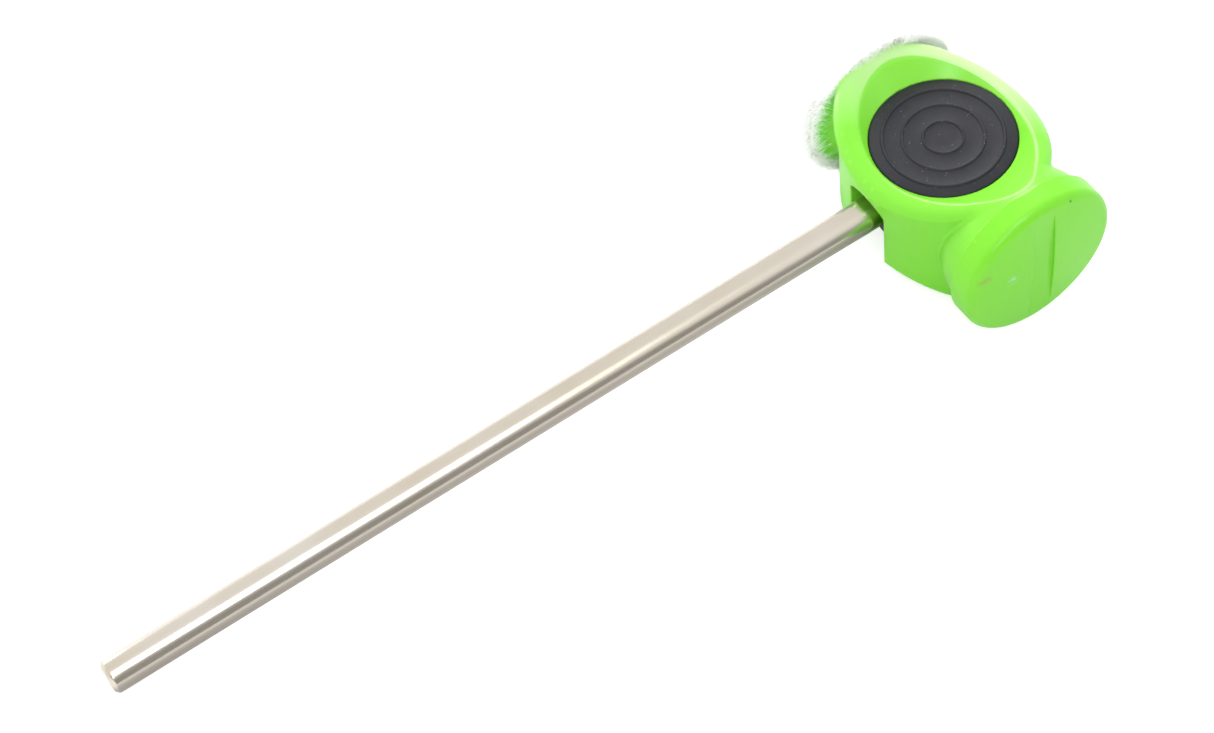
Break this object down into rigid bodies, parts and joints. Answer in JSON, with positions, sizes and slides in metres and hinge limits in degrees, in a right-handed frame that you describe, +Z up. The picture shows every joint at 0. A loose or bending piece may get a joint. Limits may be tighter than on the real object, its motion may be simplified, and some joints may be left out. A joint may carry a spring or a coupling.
{
  "type": "bass drum beater",
  "caption": "Two-way kick pedal beater: a straight steel rod carrying a moulded plastic head that floats on a rubber hub, with a hard striking face on one side and a fleece face on the other.",
  "frame": {"origin": "centre of the rod's lower end face", "axes": "+Z up along the rod towards the head, +X towards the hard striking face, -X towards the fleece, -Y towards the dished front of the head"},
  "size_m": [0.0704, 0.0432, 0.2435],
  "materials": {
    "rod_steel": "polished",
    "core_steel": "turned",
    "pin_steel": "rolled spring steel",
    "hub_rubber": "satin",
    "head_plastic": "semi-gloss",
    "adhesive": "cured film",
    "knit": "knitted",
    "fleece": "brushed pile"
  },
  "bodies": {
    "rod": {"beater_rod": "rod_steel", "hub_core": "core_steel", "rod_pin": "pin_steel", "hub_front": "hub_rubber", "hub_rear": "hub_rubber"},
    "head": {"head_shell": "head_plastic", "fleece_adhesive": "adhesive", "fleece_backing": "knit", "fleece_pile": "fleece"}
  },
  "joints": [
    {"name": "head_tilt", "type": "hinge", "parent": "rod", "child": "head", "pos_m": [0, 0, 0.22086], "axis": [0, 1, 0], "range_deg": [-5, 5], "stiffness_Nm_per_rad": 1.2}
  ]
}
